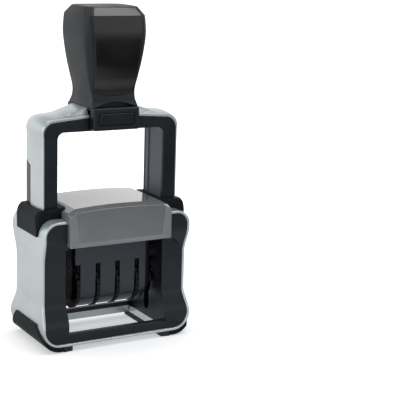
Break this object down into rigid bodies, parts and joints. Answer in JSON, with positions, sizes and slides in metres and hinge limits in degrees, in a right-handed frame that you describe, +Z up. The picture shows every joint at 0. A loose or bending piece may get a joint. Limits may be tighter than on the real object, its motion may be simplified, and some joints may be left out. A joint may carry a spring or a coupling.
{
  "type": "self-inking date stamp",
  "caption": "Self-inking date stamp: pommel handle on a sprung bow, hourglass base, and a date unit that flips as it goes down.",
  "frame": {"origin": "on the paper, under the middle of the base", "axes": "+Z up, +X to the viewer's right, front faces -Y"},
  "size_m": [0.0728, 0.0408, 0.1469],
  "materials": {
    "silver": "satin silver lacquer",
    "black": "fine satin",
    "gloss_black": "polished",
    "grey_cover": "glossy",
    "slate": "satin",
    "rubber": "matt",
    "tray": "satin",
    "felt": "inked felt",
    "steel": "drawn",
    "bright": "bright"
  },
  "bodies": {
    "base": {"base_shell": "silver", "front_frame": "black", "rear_frame": "black", "right_cheek": "black", "left_cheek": "black", "right_collar": "black", "left_collar": "black", "right_foot": "black", "left_foot": "black", "foot_pads": "rubber", "right_sight_rail": "bright", "left_sight_rail": "bright", "pad_cover": "grey_cover", "right_pad_rail": "black", "left_pad_rail": "black", "right_spring_rod": "steel", "left_spring_rod": "steel", "right_spring": "steel", "left_spring": "steel"},
    "cartridge": {"ink_cartridge": "tray", "ink_felt": "felt"},
    "bow": {"bow_shell": "silver", "bow_front_trim": "black", "bow_rear_trim": "black", "bow_core": "black", "right_side_strip": "black", "left_side_strip": "black", "right_slider": "black", "left_slider": "black", "right_pivot_pin": "steel", "left_pivot_pin": "steel", "handle_yoke": "black", "handle_grip": "black", "handle_front_panel": "gloss_black", "handle_rear_panel": "gloss_black", "handle_screws": "steel"},
    "button": {"lock_button": "gloss_black"},
    "date_unit": {"date_housing": "slate", "right_end_plate": "slate", "left_end_plate": "slate", "die_plate": "slate", "text_plate": "rubber", "print_bridge": "slate", "wheel_axle": "steel", "year_band": "rubber", "month_band": "rubber", "day_tens_band": "rubber", "day_units_band": "rubber"},
    "year_setting": {"year_wheel": "slate"},
    "month_setting": {"month_wheel": "slate"},
    "day_tens_setting": {"day_tens_wheel": "slate"},
    "day_units_setting": {"day_units_wheel": "slate"}
  },
  "joints": [
    {"name": "bow_press", "type": "slide", "parent": "base", "child": "bow", "axis": [0, 0, -1], "range_m": [0, 0.0277], "stiffness_N_per_m": 450, "springref_m": -0.01, "deforming": ["right_spring", "left_spring"]},
    {"name": "date_flip", "type": "hinge", "parent": "bow", "child": "date_unit", "pos_m": [0, 0, 0.038], "axis": [1, 0, 0], "range_deg": [-180, 0]},
    {"name": "year_spin", "type": "hinge", "parent": "date_unit", "child": "year_setting", "pos_m": [0, 0, 0.0243], "axis": [1, 0, 0], "continuous": true},
    {"name": "month_spin", "type": "hinge", "parent": "date_unit", "child": "month_setting", "pos_m": [0, 0, 0.0243], "axis": [1, 0, 0], "continuous": true},
    {"name": "day_tens_spin", "type": "hinge", "parent": "date_unit", "child": "day_tens_setting", "pos_m": [0, 0, 0.0243], "axis": [1, 0, 0], "continuous": true},
    {"name": "day_units_spin", "type": "hinge", "parent": "date_unit", "child": "day_units_setting", "pos_m": [0, 0, 0.0243], "axis": [1, 0, 0], "continuous": true},
    {"name": "lock_press", "type": "slide", "parent": "bow", "child": "button", "axis": [0, 1, 0], "range_m": [0, 0.002], "stiffness_N_per_m": 300, "springref_m": -0.0015},
    {"name": "cartridge_slide", "type": "slide", "parent": "base", "child": "cartridge", "axis": [0, 1, 0], "range_m": [0, 0.036]}
  ],
  "couplings": [
    {"joint": "date_flip", "follows": "bow_press", "rad_per_m": -113.41}
  ]
}
